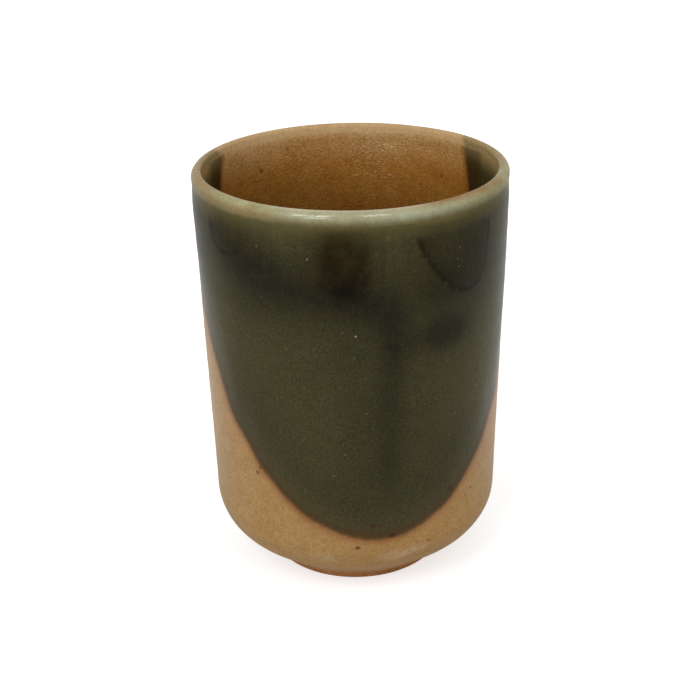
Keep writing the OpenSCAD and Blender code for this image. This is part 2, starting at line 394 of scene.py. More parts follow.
def grid_mesh(name, grid, wrap, marks):
    """Closed mesh from a grid of places whose rows run round in a ring. The columns run round too where wrap
    is true, and meet in a point at each end where it is not. Places that coincide become one corner, and a
    square that loses a corner by that becomes a triangle. marks are numbers kept for each corner."""
    rows, cols = grid.shape[:2]
    flat = grid.reshape(-1, 3)
    key = np.round(flat * 1e5).astype(np.int64)
    first, same = np.unique(key, axis=0, return_index=True, return_inverse=True)[1:]
    same = same.reshape(rows, cols)
    below = np.roll(same, -1, axis=0)
    if wrap:
        quads = np.stack([same, np.roll(same, -1, axis=1), np.roll(below, -1, axis=1), below], -1)
    else:
        quads = np.stack([same[:, :-1], same[:, 1:], below[:, 1:], below[:, :-1]], -1)
    quads = quads.reshape(-1, 4)
    equal = quads == np.roll(quads, -1, axis=1)
    opposite = (quads[:, 0] == quads[:, 2]) | (quads[:, 1] == quads[:, 3])
    whole = quads[(equal.sum(1) == 0) & ~opposite]
    cut = quads[(equal.sum(1) == 1) & ~opposite]
    drop = cut == np.roll(cut, -1, axis=1)
    thirds = cut[~drop].reshape(-1, 3)
    corners = np.concatenate([whole.ravel(), thirds.ravel()])
    totals = np.concatenate([np.full(len(whole), 4), np.full(len(thirds), 3)])
    mesh = bpy.data.meshes.new(name)
    mesh.vertices.add(len(first))
    mesh.vertices.foreach_set("co", (flat[first] * MM).astype(np.float32).ravel())
    mesh.loops.add(len(corners))
    mesh.loops.foreach_set("vertex_index", corners.astype(np.int32))
    mesh.polygons.add(len(totals))
    mesh.polygons.foreach_set("loop_start", (np.cumsum(totals) - totals).astype(np.int32))
    mesh.update(calc_edges=True)
    mesh.validate()
    mesh.shade_smooth()
    for label, values in marks.items():
        mark = mesh.attributes.new(label, "FLOAT", "POINT")
        mark.data.foreach_set("value", values.reshape(-1)[first].astype(np.float32))
    return new_object(name, mesh)


def coat(name, azimuths, start, end, rows, lift, under, wrap):
    """Coat of glaze between two ways along the section: its free face is lifted by one function of azimuth
    and way, and the face that lies on what it coats by another, with a quarter of the rows."""
    start, end = start + 0 * azimuths, end + 0 * azimuths
    way = rows_between(start, end, rows)
    back = rows_between(start, end, max(4, rows // 4))[::-1]
    az = np.broadcast_to(azimuths[None, :], way.shape)
    az_back = np.broadcast_to(azimuths[None, :], back.shape)
    grid = np.concatenate([skin(az, way, lift(az, way)), skin(az_back, back, under(az_back, back))])
    all_az = np.concatenate([az, az_back])
    all_way = np.concatenate([way, back])
    return grid_mesh(name, grid, wrap, glaze_marks(all_az, all_way))


def glaze_marks(azimuth, way):
    """What the glazes' colours follow, worked out for each corner: distances to the green edge, the crest and
    the runs, how far the runs' edges show, and the soft blots."""
    z = on_section(way)[1]
    gaps = [np.where(way < CREST, run_gap(azimuth, z, k), -30) for k in range(3)]
    nearest = np.argmin(np.abs(np.stack(gaps)), axis=0)
    fade = soft_step((90.6 - z) / 2.5)
    left_side = soft_step((-azimuth - 38) / 9)
    shows = np.choose(nearest, [0.30 + 1.10 * left_side, 0.10 + 0 * z, 1.0 + 0 * z]) * fade
    return {
        "dip_mm": dip_gap(azimuth, way),
        "crest_mm": way - CREST,
        "run_mm": np.max(np.stack(gaps), axis=0),
        "run_edge": shows,
        "smoke": blots(azimuth, way, SMOKE_PLACES),
        "brown": blots(azimuth, way, BROWN_PLACES),
        "clear": blots(azimuth, way, CLEAR_AND_PAINTED_REFLECTION_PLACES),
        "front": soft_step((32 - abs(azimuth)) / 10) + 0 * way,
        "ochre": lip_blots(azimuth, way, OCHRE_PLACES),
        "rust": lip_blots(azimuth, way, RUST_PLACES),
        "painted_lip_highlight": lip_blots(azimuth, way, LIP_HIGHLIGHT_PLACES),
        "painted_hip_glint": blots(azimuth, way, HIP_GLINT_PLACES),
    }


def wall_swell(way):
    """Slight fullness of the thrown wall outside, which rises from the hip and ends under the lip."""
    z = on_section(way)[1]
    return WALL_SWELL * soft_step((z - 18) / 45) * soft_step((94 - z) / 6) * (way < CREST)


def buff_top(azimuth, way):
    """Top of the buff glaze over the clay, with a rolled edge and a small bead at the foot."""
    bead = FOOT_BEAD * rolled_edge(way / 0.7) * soft_step((3.6 - way) / 3.0)
    return (BUFF_THICK - hand_marks(azimuth, way)) * rolled_edge(way / 0.9) + bead + wall_swell(way)


def green_top(azimuth, way):
    """Top of the green glaze: its thickness over the buff, which dies away softly towards its edge."""
    return buff_top(azimuth, way) + GREEN_THICK * soft_step((dip_gap(azimuth, way) + 0.6) / GREEN_FADE)


def rim_gap(azimuth, way):
    """Height above the line down to which the rim was dipped."""
    return on_section(way)[1] - rim_low(azimuth)


def rim_top(azimuth, way):
    """Top of the rim glaze: full over the lip, fading to what is under it, and thinner on the runs. Inside
    it fades on the rounding of the lip itself, so that the wall below stays straight."""
    under = green_top(azimuth, way)
    full = FULL_OFF - hand_marks(azimuth, way)
    above = rim_gap(azimuth, way)
    fade_in = 0.02 + 0.98 * soft_step((CREST + 0.60 - way) / 0.80)
    over = np.where(way < CREST, soft_step(above / RIM_FADE), fade_in * soft_step(above / 1.2))
    run = RUN_THICK * soft_step(runs_gap(azimuth, way) / 2.4) * (way < CREST)
    return under + (full - under) * over + run * (1 - over)


def edge_fall(gap, wide):
    """Fall from 1 at the edge of a coat to 0 at a width inside it."""
    return 1 - soft_step(gap / wide)


def columns(places, gaps):
    """Azimuths all round the cup, with a spacing that changes evenly between the given places."""
    fine = np.linspace(-180, 180, 7201)
    count = running_total(0.05 / np.interp(fine[1:], places, gaps))
    total = int(round(count[-1]))
    return np.interp(np.linspace(0, count[-1], total + 1)[:-1], count, fine)


all_round = columns((-180, 180), (1.5, 1.5))

buff_skin = coat(
    "buff_skin", all_round, 0.0, CREST, 190, buff_top,
    lambda az, way: -BUFF_SUNK * soft_step(way / 0.5), True,
)
liner_skin = coat(
    "liner_skin", all_round, CREST, WAY_END, 170, buff_top,
    lambda az, way: -BUFF_SUNK + 0 * way * az, True,
)


def green_skin_piece():
    """The green coat: for each azimuth it reaches from the edge outside, over the lip, to the edge inside.
    Its columns draw together where both edges meet on the lip."""
    seek = np.linspace(-135, 150, 5701)
    lip_ways = np.linspace(CREST - 8, CREST + 6, 281)[:, None]
    covered = seek[np.max(dip_rise(seek[None, :], lip_ways), axis=0) > 0]
    t = np.linspace(-1, 1, 231)
    t = 0.45 * t + 0.55 * np.sin(np.pi / 2 * t)
    azimuths = (covered[0] + covered[-1]) / 2 + (covered[-1] - covered[0]) / 2 * t
    ways = np.linspace(0, WAY_END, 4401)
    rises = dip_rise(azimuths[None, :], ways[:, None])
    rises[ways > way_inside(WELL_EDGE_END)] = -1
    green = rises > 0
    green[:, 0] = green[:, -1] = False
    lowest = np.argmax(green, axis=0)
    highest = len(ways) - 1 - np.argmax(green[::-1], axis=0)
    pick = np.arange(len(azimuths))
    step = ways[1] - ways[0]
    first, before = rises[lowest, pick], rises[lowest - 1, pick]
    last, after = rises[highest, pick], rises[highest + 1 - len(ways), pick]
    start = ways[lowest] - step * first / (first - before)
    end = ways[highest] + step * last / (last - after)
    tips = [ways[np.argmax(rises[:, k])] for k in (0, -1)]
    start[[0, -1]] = tips
    end[[0, -1]] = tips
    return coat(
        "green_skin", azimuths, start, end, 230,
        lambda az, way: green_top(az, way) - 0.035 * edge_fall(dip_gap(az, way), 0.3),
        lambda az, way: buff_top(az, way) - GREEN_SUNK + 0.015 * edge_fall(dip_gap(az, way), 0.3),
        False,
    )


green_skin = green_skin_piece()

rim_round = columns((-180, -75, -66, 62, 70, 180), (1.5, 1.5, 0.5, 0.5, 1.5, 1.5))
rim_skin = coat(
    "rim_skin", rim_round, way_outside(rim_edge(rim_round)), way_inside(CUP_H - RIM_DIP_H), 120,
    lambda az, way: rim_top(az, way) - 0.03 * edge_fall(
        np.maximum(rim_gap(az, way), runs_gap(az, way)), np.where(way < CREST, 0.35, 2.6)),
    lambda az, way: buff_top(az, way) - RIM_SUNK,
    True,
)


def foot_piece():
    """The bare foot ring as a closed ring: its outer side, a round corner, the flat, a round corner and its
    inner side, with fine grooves left by the turning tool, up to 0.06 mm deep."""
    outer_r = clay_line[0] - clay_line[1] * np.tan(np.radians(FOOT_OUTER_ANGLE))
    inner_r = outer_r - FOOT_RING_W
    corners = []
    for r, lean, out in ((outer_r, FOOT_OUTER_ANGLE, 1), (inner_r, FOOT_INNER_ANGLE, -1)):
        turn = np.tan(np.radians(90 - lean) / 2)
        centre = np.array([r - out * FOOT_EDGE_ROUND * turn, FOOT_EDGE_ROUND])
        a = np.radians(np.linspace(-lean, -90, 9))
        points = centre + FOOT_EDGE_ROUND * np.stack([out * np.cos(a), np.sin(a)], 1)
        corners.append(points if out > 0 else points[::-1])
    joint_outer = clay_line[0] + (FOOT_H - clay_line[1]) / np.tan(np.radians(BASE_ANGLE))
    joint_inner = inner_r - FOOT_H * np.tan(np.radians(FOOT_INNER_ANGLE))
    ring = np.vstack([
        [clay_line], corners[0], corners[1], [[joint_inner, FOOT_H], [joint_outer - 0.1, FOOT_H]],
    ])
    far = running_total(np.linalg.norm(np.diff(ring, axis=0), axis=1))
    way = np.linspace(0, far[-1], 90)
    way = np.sort(np.concatenate([way, far[1:-1]]))
    r = np.interp(way, far, ring[:, 0])[:, None]
    z = np.interp(way, far, ring[:, 1])[:, None]
    azimuths = np.linspace(-180, 180, 361)[:-1][None, :]
    a = np.radians(azimuths)
    shown = soft_step(z / 0.5) * soft_step((4.2 - z) / 0.8)
    side = np.where(r > outer_r - FOOT_RING_W / 2, -1, 1)
    marks = 0.02 * (1 + np.sin(2 * np.pi * z / 0.55 + a + np.sin(2 * a)))
    marks = marks + 0.012 * (1 + np.sin(5 * a + 3 * z))
    lift = 0.03 * soft_step(1 - z / 0.6) * (1 + np.sin(3 * a + 0.5) * np.cos(7 * a)) / 2
    r = r + side * marks * shown
    z = z + lift + 0 * a
    grid = np.stack([r * np.sin(a), -r * np.cos(a), z], -1)
    return grid_mesh("foot_turned", grid[::-1], True, {})


foot_turned = foot_piece()


class Bench:
    """Lays out the nodes of one shader tree. What is fed to a socket is a number, a colour or the output of
    another node."""

    def __init__(self, tree):
        self.tree = tree
        self.made = 0

    def node(self, kind, fed=None, **settings):
        """A new node with its settings, and with values fed to its inputs by their labels or numbers."""
        made = self.tree.nodes.new(kind if kind.startswith("NodeGroup") else "ShaderNode" + kind)
        made.location = (200 * (self.made % 12), -260 * (self.made // 12))
        self.made += 1
        for name, value in settings.items():
            setattr(made, name, value)
        for label, value in (fed or {}).items():
            self.feed(made.inputs[label], value)
        return made

    def feed(self, socket, value):
        """Links an output to a socket, or sets the socket's own number or colour."""
        if isinstance(value, bpy.types.NodeSocket):
            self.tree.links.new(value, socket)
        elif socket.type == "RGBA" and len(value) == 3:
            socket.default_value = (*value, 1)
        else:
            socket.default_value = value

    def math(self, kind, *values):
        """What one math node makes of its values."""
        return self.node("Math", dict(enumerate(values)), operation=kind).outputs[0]

    def times(self, first, *others):
        """Product of numbers."""
        for other in others:
            first = self.math("MULTIPLY", first, other)
        return first

    def line(self, value, slope, start):
        """A value times a slope, plus a start."""
        return self.math("MULTIPLY_ADD", value, slope, start)

    def step(self, value, low, high, to_low=0.0, to_high=1.0):
        """Soft rise of a value between two limits, from to_low to to_high."""
        numbers = dict(enumerate((value, low, high, to_low, to_high)))
        return self.node("MapRange", numbers, interpolation_type="SMOOTHSTEP").outputs[0]

    def band(self, value, rise, fall):
        """Soft rise of a value, times its soft fall further on."""
        return self.times(self.step(value, *rise), self.step(value, *fall))

    def mix(self, share, a, b, kind="MIX"):
        """Colour a turned into colour b by a share, or by another way of blending."""
        return self.node("Mix", {0: share, 6: a, 7: b}, data_type="RGBA", blend_type=kind).outputs[2]

    def tint(self, colour, by):
        """Colour multiplied by another colour."""
        return self.mix(1.0, colour, by, "MULTIPLY")

    def shade(self, colour, light):
        """Colour multiplied by a number."""
        return self.tint(colour, self.node("CombineColor", dict.fromkeys(range(3), light)).outputs[0])

    def place(self):
        """Place on the object in millimetres."""
        coordinates = self.node("TexCoord").outputs["Object"]
        return self.node("VectorMath", {0: coordinates, "Scale": 1 / MM}, operation="SCALE").outputs[0]

    def scale(self, size):
        """Scale of a texture whose features have a size in millimetres."""
        return self.math("DIVIDE", 1.0, size) if isinstance(size, bpy.types.NodeSocket) else 1 / size

    def noise(self, place, size, detail=2.0, rough=0.5):
        """Cloudy noise of a size in millimetres, from 0 to 1."""
        fed = {"Vector": place, "Scale": self.scale(size), "Detail": detail, "Roughness": rough}
        return self.node("TexNoise", fed).outputs[0]

    def wander(self, place, size, detail, rough=0.5):
        """The same noise from -0.5 to 0.5, which makes an edge wander."""
        return self.math("SUBTRACT", self.noise(place, size, detail, rough), 0.5)

    def mark(self, label):
        """A number kept with the mesh."""
        return self.node("Attribute", attribute_name=label).outputs["Fac"]

    def group(self, tree, **values):
        """A shared group, with its inputs by label; gives back its outputs by label."""
        made = self.node("Group", node_tree=tree)
        for label, value in values.items():
            self.feed(made.inputs[label], value)
        return made.outputs

    def give(self, **values):
        """Ends a shared group: feeds its outputs by label, and gives back its tree."""
        self.node("NodeGroupOutput", values)
        return self.tree


def shared_group(name, gives, **wants):
    """Starts a shader group that gives these outputs and wants these inputs, with their standard values: its
    bench, and what comes in."""
    tree = bpy.data.node_groups.new(name, "ShaderNodeTree")
    for label, value in wants.items():
        coloured = isinstance(value, tuple)
        kind = "NodeSocketColor" if coloured else "NodeSocketFloat"
        socket = tree.interface.new_socket(label, in_out="INPUT", socket_type=kind)
        socket.default_value = (*value, 1) if coloured else value
    for label in gives:
        kind = "NodeSocketColor" if label == "Colour" else "NodeSocketFloat"
        tree.interface.new_socket(label, in_out="OUTPUT", socket_type=kind)
    bench = Bench(tree)
    return bench, bench.node("NodeGroupInput").outputs


def grain_group():
    """Grain of a fired glaze: fine grains and broad clouds, of two sizes in mm."""
    bench, given = shared_group("fired_grain", ("Fine", "Broad"), Grain=0.5, Cloud=9.0)
    place = bench.place()
    fine = bench.noise(place, given["Grain"], 2.5, 0.65)
    return bench.give(Fine=fine, Broad=bench.noise(place, given["Cloud"], 3.0))


def orange_peel_group():
    """Skin of a glaze that has pulled into small round swells with pits between them, as a height in mm."""
    bench, given = shared_group("orange_peel", ("Height",), Swell=1.5, Depth=0.02)
    place = bench.place()
    fed = {"Vector": place, "Scale": bench.scale(given["Swell"]), "Smoothness": 0.8}
    swells = bench.node("TexVoronoi", fed, feature="SMOOTH_F1").outputs["Distance"]
    hollow = bench.line(swells, 0.9, bench.times(bench.noise(place, 0.7, 2.0, 0.6), 0.5))
    hollow = bench.line(bench.noise(place, 3.2, 1.0), 0.8, hollow)
    return bench.give(Height=bench.times(hollow, -1.0, given["Depth"]))


def specks_group(name, places, way_at):
    """Specks at their own places on the cup: each is a small disc with an uneven edge, as strong as given."""
    bench, given = shared_group(name, ("Mask",), Amount=1.0)
    place = bench.place()
    uneven = bench.noise(place, 0.55)
    total = 0.0
    for azimuth, height, radius, strength in places:
        way = way_at(height)
        spot = skin(azimuth, way, buff_top(azimuth, way)).tolist()
        far = bench.node("VectorMath", {0: place, 1: spot}, operation="DISTANCE").outputs["Value"]
        far = bench.line(uneven, 0.9 * radius, far)
        total = bench.math("MAXIMUM", total, bench.step(far, 2.2 * radius, 0.9 * radius, 0.0, strength))
    return bench.give(Mask=bench.times(total, given["Amount"]))


def stray_specks_group():
    """Stray iron specks: one cell in a few holds a dot, of a size by chance."""
    bench, given = shared_group("stray_specks", ("Mask",), Spacing=5.0, Share=0.3)
    fed = {"Vector": bench.place(), "Scale": bench.scale(given["Spacing"])}
    cells = bench.node("TexVoronoi", fed).outputs
    chance = bench.node("SeparateColor", {0: cells["Color"]}).outputs
    has_one = bench.math("LESS_THAN", chance[0], given["Share"])
    size = bench.line(chance[1], 0.26, 0.10)
    far = bench.times(cells["Distance"], given["Spacing"])
    return bench.give(Mask=bench.times(bench.step(bench.math("DIVIDE", far, size), 1.15, 0.55), has_one))


def dip_edge_group():
    """What shows along the edge of the green glaze, by the distance to it: the green side, the brown line
    where it ends, the rusty halo on the buff beyond, the paler olive within and a wide faint flush. Inside
    the cup the line is a wide, nearly black band."""
    bench, given = shared_group(
        "dip_edge", ("Green", "Dark", "Halo", "Low", "Flush"), Gap=0.0, Inside=0.0)
    place = bench.place()
    gap = bench.line(bench.wander(place, 1.3, 3.0, 0.6), 0.9, given["Gap"])
    slow = bench.noise(place, 11.0, 1.0)
    brown = bench.times(bench.band(gap, (-0.55, 0.25), (3.0, 0.4)), bench.step(slow, 0.3, 0.7, 0.70, 1.0))
    black = bench.band(gap, (-0.5, 0.9), (15.0, 3.5))
    halo = bench.band(gap, (-2.2, -0.2), (1.8, 0.2))
    return bench.give(
        Green=bench.step(gap, -0.55, 1.0),
        Dark=bench.line(bench.math("SUBTRACT", black, brown), given["Inside"], brown),
        Halo=bench.times(halo, bench.step(slow, 0.25, 0.7, 0.5, 1.0)),
        Low=bench.step(given["Gap"], 9.0, 1.5),
        Flush=bench.step(given["Gap"], -8.0, -1.0),
    )


def run_edge_group():
    """The dark wavy line round a run of the rim glaze, and the run's own slight shade, by the distance to
    its edge."""
    bench, given = shared_group("run_edge", ("Line", "Shade"), Gap=-30.0, Shows=0.0)
    place = bench.place()
    gap = bench.line(bench.wander(place, 1.2, 4.0, 0.7), 2.1, given["Gap"])
    line = bench.band(gap, (-0.80, 0.0), (1.5, 0.2, 0.0, 0.85))
    inner = bench.band(gap, (-0.4, 0.5), (4.6, 0.5, 0.0, 0.42))
    patchy = bench.step(bench.noise(place, 2.6), 0.28, 0.6, 0.55, 1.0)
    return bench.give(
        Line=bench.times(bench.math("MAXIMUM", line, inner), patchy, given["Shows"]),
        Shade=bench.times(bench.step(gap, -0.4, 1.5), given["Shows"]),
    )


GRAIN = grain_group()
PEEL = orange_peel_group()
WALL_SPECKS = specks_group("wall_specks", SPECKS, way_outside)
INNER_SPECKS = specks_group("well_specks", WELL_SPECKS, way_inside)
PALE_PINS = specks_group("pale_pins", PINS, way_outside)
STRAY = stray_specks_group()
DIP_EDGE = dip_edge_group()
RUN_EDGE = run_edge_group()


def olive_group():
    """Colour of the green glaze: olive with fine grain and clouds, lighter towards its lower edge and a
    little streaked under the rim, with the smoky, brown and clear blots and the dark lines round the runs.
    The broad clear blots on the sides are a painted reflection."""
    bench, given = shared_group(
        "olive_glaze", ("Colour",),
        Low=0.0, High=0.0, Smoke=0.0, Brown=0.0, Clear=0.0, Line=0.0, Shade=0.0)
    place = bench.place()
    grain = bench.group(GRAIN, Grain=0.42, Cloud=7.0)
    flecks = bench.group(GRAIN, Grain=0.9, Cloud=2.2)
    colour = bench.mix(grain["Broad"], (0.0359, 0.0330, 0.0119), (0.0513, 0.0460, 0.0196))
    colour = bench.mix(bench.times(given["Low"], 0.60), colour, (0.0735, 0.0585, 0.0268))
    # Clear blots; the broad ones on the sides are a painted reflection
    colour = bench.mix(bench.times(given["Clear"], 0.8), colour, (0.088, 0.077, 0.032))
    smoke = bench.times(given["Smoke"], bench.step(flecks["Broad"], 0.2, 0.7, 0.75, 1.0))
    colour = bench.mix(smoke, colour, (0.0156, 0.0148, 0.0074))
    brown = bench.times(given["Brown"], bench.step(flecks["Broad"], 0.28, 0.62, 0.72, 1.0))
    colour = bench.mix(brown, colour, (0.0170, 0.0110, 0.0012))
    colour = bench.shade(colour, bench.line(bench.times(smoke, brown), -0.85, 1.0))
    colour = bench.mix(bench.times(given["Shade"], 0.24), colour, (0.0215, 0.0185, 0.0060))
    rusty = bench.step(bench.noise(place, 1.1, 2.0, 0.6), 0.42, 0.66)
    colour = bench.tint(colour, bench.mix(rusty, (0.88, 0.92, 0.92), (1.0, 0.89, 0.82)))
    stretched = bench.node("VectorMath", {0: place, 1: (1.0, 1.0, 0.09)}, operation="MULTIPLY").outputs[0]
    streaks = bench.step(bench.noise(stretched, 1.7), 0.3, 0.7, -0.09, 0.09)
    colour = bench.shade(colour, bench.line(streaks, given["High"], 1.0))
    bright = bench.times(
        bench.step(grain["Fine"], 0.25, 0.75, 0.72, 1.28), bench.step(flecks["Fine"], 0.60, 0.78, 0.97, 1.35))
    bright = bench.line(bright, 0.8, -0.4)
    colour = bench.tint(colour, bench.mix(bright, (0.50, 0.45, 0.25), (1.75, 1.825, 2.125)))
    stray = bench.group(STRAY, Spacing=2.4, Share=0.22)["Mask"]
    colour = bench.mix(bench.times(stray, 0.28), colour, (0.17, 0.17, 0.12))
    colour = bench.mix(bench.group(PALE_PINS, Amount=0.9)["Mask"], colour, (0.42, 0.42, 0.36))
    return bench.give(Colour=bench.mix(given["Line"], colour, (0.0075, 0.0052, 0.0016)))


def buff_group():
    """Colour of the buff glaze: a sandy ground with paler and redder clouds, and fine grain that is chalky
    where it is light."""
    bench, given = shared_group(
        "buff_glaze", ("Colour",),
        Ground=(0.42, 0.235, 0.09), Warm=(0.36, 0.165, 0.05), Pale=(0.5, 0.31, 0.15), Contrast=1.0)
    grain = bench.group(GRAIN, Grain=0.55, Cloud=12.0)
    patches = bench.group(GRAIN, Grain=2.6, Cloud=26.0)
    colour = bench.mix(bench.step(patches["Broad"], 0.42, 0.68, 0.0, 0.6), given["Ground"], given["Warm"])
    colour = bench.mix(bench.step(grain["Broad"], 0.45, 0.75, 0.0, 0.5), colour, given["Pale"])
    light = bench.step(grain["Fine"], 0.25, 0.75, -0.23, 0.22)
    light = bench.math("ADD", light, bench.step(patches["Fine"], 0.3, 0.7, -0.08, 0.08))
    light = bench.line(light, given["Contrast"], 0.5)
    return bench.give(Colour=bench.tint(colour, bench.mix(light, (0.50, 0.42, 0.22), (1.50, 1.58, 1.78))))


OLIVE = olive_group()
BUFF = buff_group()

# The buff glaze's colours on the wall, and at three depths in the well: at the lip, below it and far down
WALL_COLOURS = {"Ground": (0.352, 0.208, 0.076), "Warm": (0.328, 0.176, 0.054), "Pale": (0.392, 0.248, 0.100)}
# The well's colours are painted light and shade: paler at the lip and darker with depth
WELL_PAINTED_SHADE_COLOURS = {
    "Ground": ((0.535, 0.332, 0.150), (0.308, 0.134, 0.0235), (0.205, 0.080, 0.011)),
    "Warm": ((0.500, 0.290, 0.112), (0.270, 0.106, 0.0152), (0.180, 0.064, 0.008)),
    "Pale": ((0.600, 0.395, 0.190), (0.345, 0.165, 0.037), (0.240, 0.100, 0.018)),
}


def buff_colour(bench, crest, way, inside, flush):
    """Colour of the buff glaze all over: sandy on the wall, warmer under the hip and rusty at the foot, where
    it is also darkened as painted shade, flushed near the dip, with a painted highlight where the hip glints,
    and in the well paler at the lip as painted light and darker with depth as painted shade. The well's upper
    layers follow way, the distance from the crest with a wandering edge."""
    outer = bench.group(BUFF, Contrast=0.78, **WALL_COLOURS)["Colour"]
    # Painted shade: the well darkens with depth
    deep = bench.math("ADD", bench.step(way, 1.2, 3.6, 0.0, 0.58), bench.step(way, 2.6, 11.0, 0.0, 0.42))
    deeper = bench.step(crest, 8.0, 26.0)
    layers = {
        label: bench.mix(deeper, bench.mix(deep, at_lip, below), far_down)
        for label, (at_lip, below, far_down) in WELL_PAINTED_SHADE_COLOURS.items()
    }
    buff = bench.mix(inside, outer, bench.group(BUFF, Contrast=0.95, **layers)["Colour"])
    stray = bench.group(STRAY, Spacing=6.0, Share=0.16)["Mask"]
    buff = bench.mix(bench.times(stray, 0.55), buff, (0.120, 0.048, 0.018))
    buff = bench.mix(bench.step(crest, 17.0 - CREST, 6.0 - CREST, 0.0, 0.65), buff, (0.500, 0.262, 0.073))
    # Rusty edge at the foot, darkened there as painted shade
    buff = bench.mix(bench.step(crest, 1.5 - CREST, 0.2 - CREST, 0.0, 0.60), buff, (0.330, 0.150, 0.046))
    buff = bench.mix(bench.times(flush, bench.line(inside, -0.24, 0.24)), buff, (0.310, 0.148, 0.055))
    # Painted highlight: pale mottled patches where the hip glints
    uneven = bench.step(bench.noise(bench.place(), 1.2), 0.34, 0.66, 0.25, 1.0)
    painted_hip_glint = bench.times(bench.mark("painted_hip_glint"), uneven, 0.7)
    return bench.mix(painted_hip_glint, buff, (0.60, 0.475, 0.330))


def glaze_colours(bench):
    """Colour of the cup's skin below the rim glaze: the buff, the halo and the brown line along the dip, and
    the olive on its own side, which turns to honey near the lip. It is the same in every coat, so that no
    coat shows where it ends under another. Gives back as well what it follows: the green side, the distance
    to the dip, the inside and the distance from the crest."""
    crest = bench.mark("crest_mm")
    inside = bench.step(crest, -1.5, 1.5)
    dip = bench.mark("dip_mm")
    brown = bench.mark("brown")
    edge = bench.group(DIP_EDGE, Gap=dip, Inside=inside)
    run = bench.group(RUN_EDGE, Gap=bench.mark("run_mm"), Shows=bench.mark("run_edge"))
    way = bench.line(bench.wander(bench.place(), 3.2, 3.0, 0.6), 1.6, crest)
    colour = buff_colour(bench, crest, way, inside, edge["Flush"])
    rusty = bench.mix(inside, (0.215, 0.087, 0.026), (0.205, 0.060, 0.0085))
    colour = bench.mix(bench.times(edge["Halo"], 0.82), colour, rusty)
    olive = bench.group(
        OLIVE, Low=edge["Low"], High=bench.step(crest, -24.0, -8.0), Smoke=bench.mark("smoke"), Brown=brown,
        Clear=bench.mark("clear"), Line=run["Line"], Shade=run["Shade"])["Colour"]
    colour = bench.mix(edge["Green"], colour, olive)
    line = bench.mix(inside, (0.070, 0.0330, 0.0100), (0.034, 0.0165, 0.0042))
    colour = bench.mix(bench.times(edge["Dark"], bench.line(inside, 0.18, 0.68)), colour, line)
    honey = bench.times(bench.band(way, (-7.2, -3.2), (6.8, 1.4)), edge["Green"])
    honey = bench.times(honey, bench.line(inside, 0.42, 0.50), bench.line(brown, -0.7, 1.0))
    black = bench.times(edge["Dark"], bench.times(inside, -0.55))
    honey = bench.times(honey, bench.math("ADD", black, 1.0))
    tan = bench.times(inside, bench.step(way, 5.5, 1.0))
    colour = bench.mix(honey, colour, bench.mix(tan, (0.132, 0.114, 0.041), (0.340, 0.235, 0.095)))
    specks = [bench.group(tree, Amount=1.0)["Mask"] for tree in (WALL_SPECKS, INNER_SPECKS)]
    specks = bench.times(bench.math("MAXIMUM", *specks), 0.85)
    return bench.mix(specks, colour, (0.056, 0.0185, 0.0095)), edge["Green"], dip, inside, crest


def lip_colours(bench, colour, green, dip, crest):
    """The rim glaze over what is under it, and where it is glassy: pale grey-green over the crest where it
    lies on the green, with a painted bluish highlight on its front, sandy where it lies on the buff and paler
    on the inner rounding as painted light, ochre in places, and rusty where it wears thin."""
    place = bench.place()
    wander = bench.wander(place, 2.4, 3.0, 0.6)
    way = bench.line(bench.wander(place, 14.0, 1.0), 0.8, bench.line(wander, 0.9, crest))
    near_edge = bench.band(dip, (-0.6, 0.8), (16.0, 5.0))
    pale = bench.band(way, (-3.4, -0.9), (bench.line(near_edge, 1.6, 3.2), 0.4))
    grain = bench.group(GRAIN, Grain=0.8, Cloud=4.0)
    cloud = bench.step(grain["Broad"], 0.35, 0.65)
    over_green = bench.mix(cloud, (0.285, 0.248, 0.116), (0.345, 0.318, 0.172))
    # Painted highlight: pale bluish patches over the green on the lip
    over_green = bench.mix(bench.mark("painted_lip_highlight"), over_green, (0.335, 0.335, 0.215))
    over_green = bench.mix(near_edge, over_green, (0.290, 0.200, 0.088))
    over_buff = bench.mix(cloud, (0.415, 0.262, 0.118), (0.465, 0.312, 0.155))
    # Painted light: paler on the inner rounding of the lip
    over_buff = bench.mix(bench.band(crest, (0.0, 0.5), (2.5, 1.6)), over_buff, (0.560, 0.370, 0.180))
    lip = bench.mix(green, over_buff, over_green)
    lip = bench.shade(lip, bench.step(grain["Fine"], 0.25, 0.75, 0.90, 1.10))
    colour = bench.mix(pale, colour, lip)
    for label, least, paint in (("ochre", 0.45, (0.215, 0.145, 0.056)), ("rust", 0.6, (0.235, 0.098, 0.026))):
        shows = bench.times(bench.mark(label), bench.step(wander, -0.25, 0.20, least, 1.0), 0.85)
        colour = bench.mix(shows, colour, paint)
    glassy = bench.band(way, (-2.4, -1.3), (1.0, 0.2))
    return colour, bench.times(glassy, bench.step(bench.mark("front"), 0.0, 1.0, 0.0, 0.75))


def own_bench(owner):
    """Bench for the emptied shader tree of a material or a world."""
    owner.use_nodes = True
    owner.node_tree.nodes.clear()
    return Bench(owner.node_tree)


def solid_material(name):
    """A new material with one Principled shader: the material, its bench and the shader."""
    material = bpy.data.materials.new(name)
    bench = own_bench(material)
    shader = bench.node("BsdfPrincipled")
    bench.node("OutputMaterial", {"Surface": shader.outputs[0]})
    return material, bench, shader


def feed_shader(bench, shader, colour, rough, height):
    """Feeds a shader its colour, its roughness and a bump from a height in millimetres."""
    bump = bench.node("Bump", {"Strength": 1.0, "Distance": MM, "Height": height})
    for label, value in (("Base Color", colour), ("Roughness", rough), ("Normal", bump.outputs[0])):
        bench.feed(shader.inputs[label], value)


